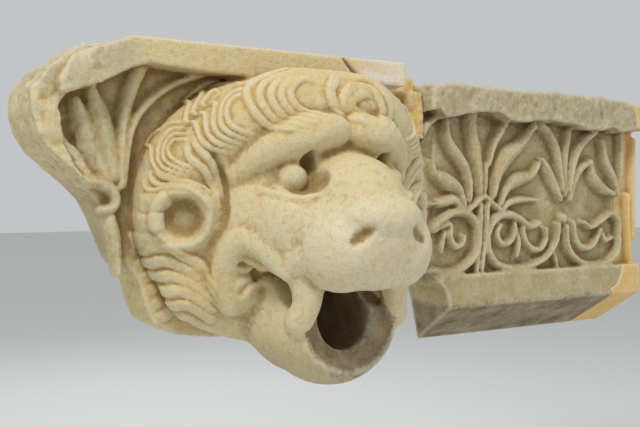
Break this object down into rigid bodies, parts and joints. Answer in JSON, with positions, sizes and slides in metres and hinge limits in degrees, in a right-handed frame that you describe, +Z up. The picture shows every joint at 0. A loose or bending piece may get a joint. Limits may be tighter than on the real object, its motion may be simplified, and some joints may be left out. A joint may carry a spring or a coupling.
{
  "type": "lion head waterspout",
  "caption": "Length of a carved marble roof gutter with a lion's head spout, a mane of locks, a palmette and scroll frieze, plaster repairs and a flat back.",
  "frame": {"origin": "on the flat back face, straight behind the middle of the lion's face, level with its cheeks", "axes": "+X along the course to the right as seen from in front, +Y into the wall, +Z up; the lion looks along -Y"},
  "size_m": [1.0405, 0.3266, 0.4073],
  "materials": {
    "warm_marble": "weathered cream marble with ochre in the hollows",
    "grey_marble": "weathered grey-beige marble",
    "plaster": "matt yellow plaster with whitish patches"
  },
  "bodies": {
    "root": {"lion_head_block": "warm_marble", "palmette_block": "grey_marble", "plaster_infill": "plaster", "plaster_end": "plaster"}
  },
  "joints": []
}
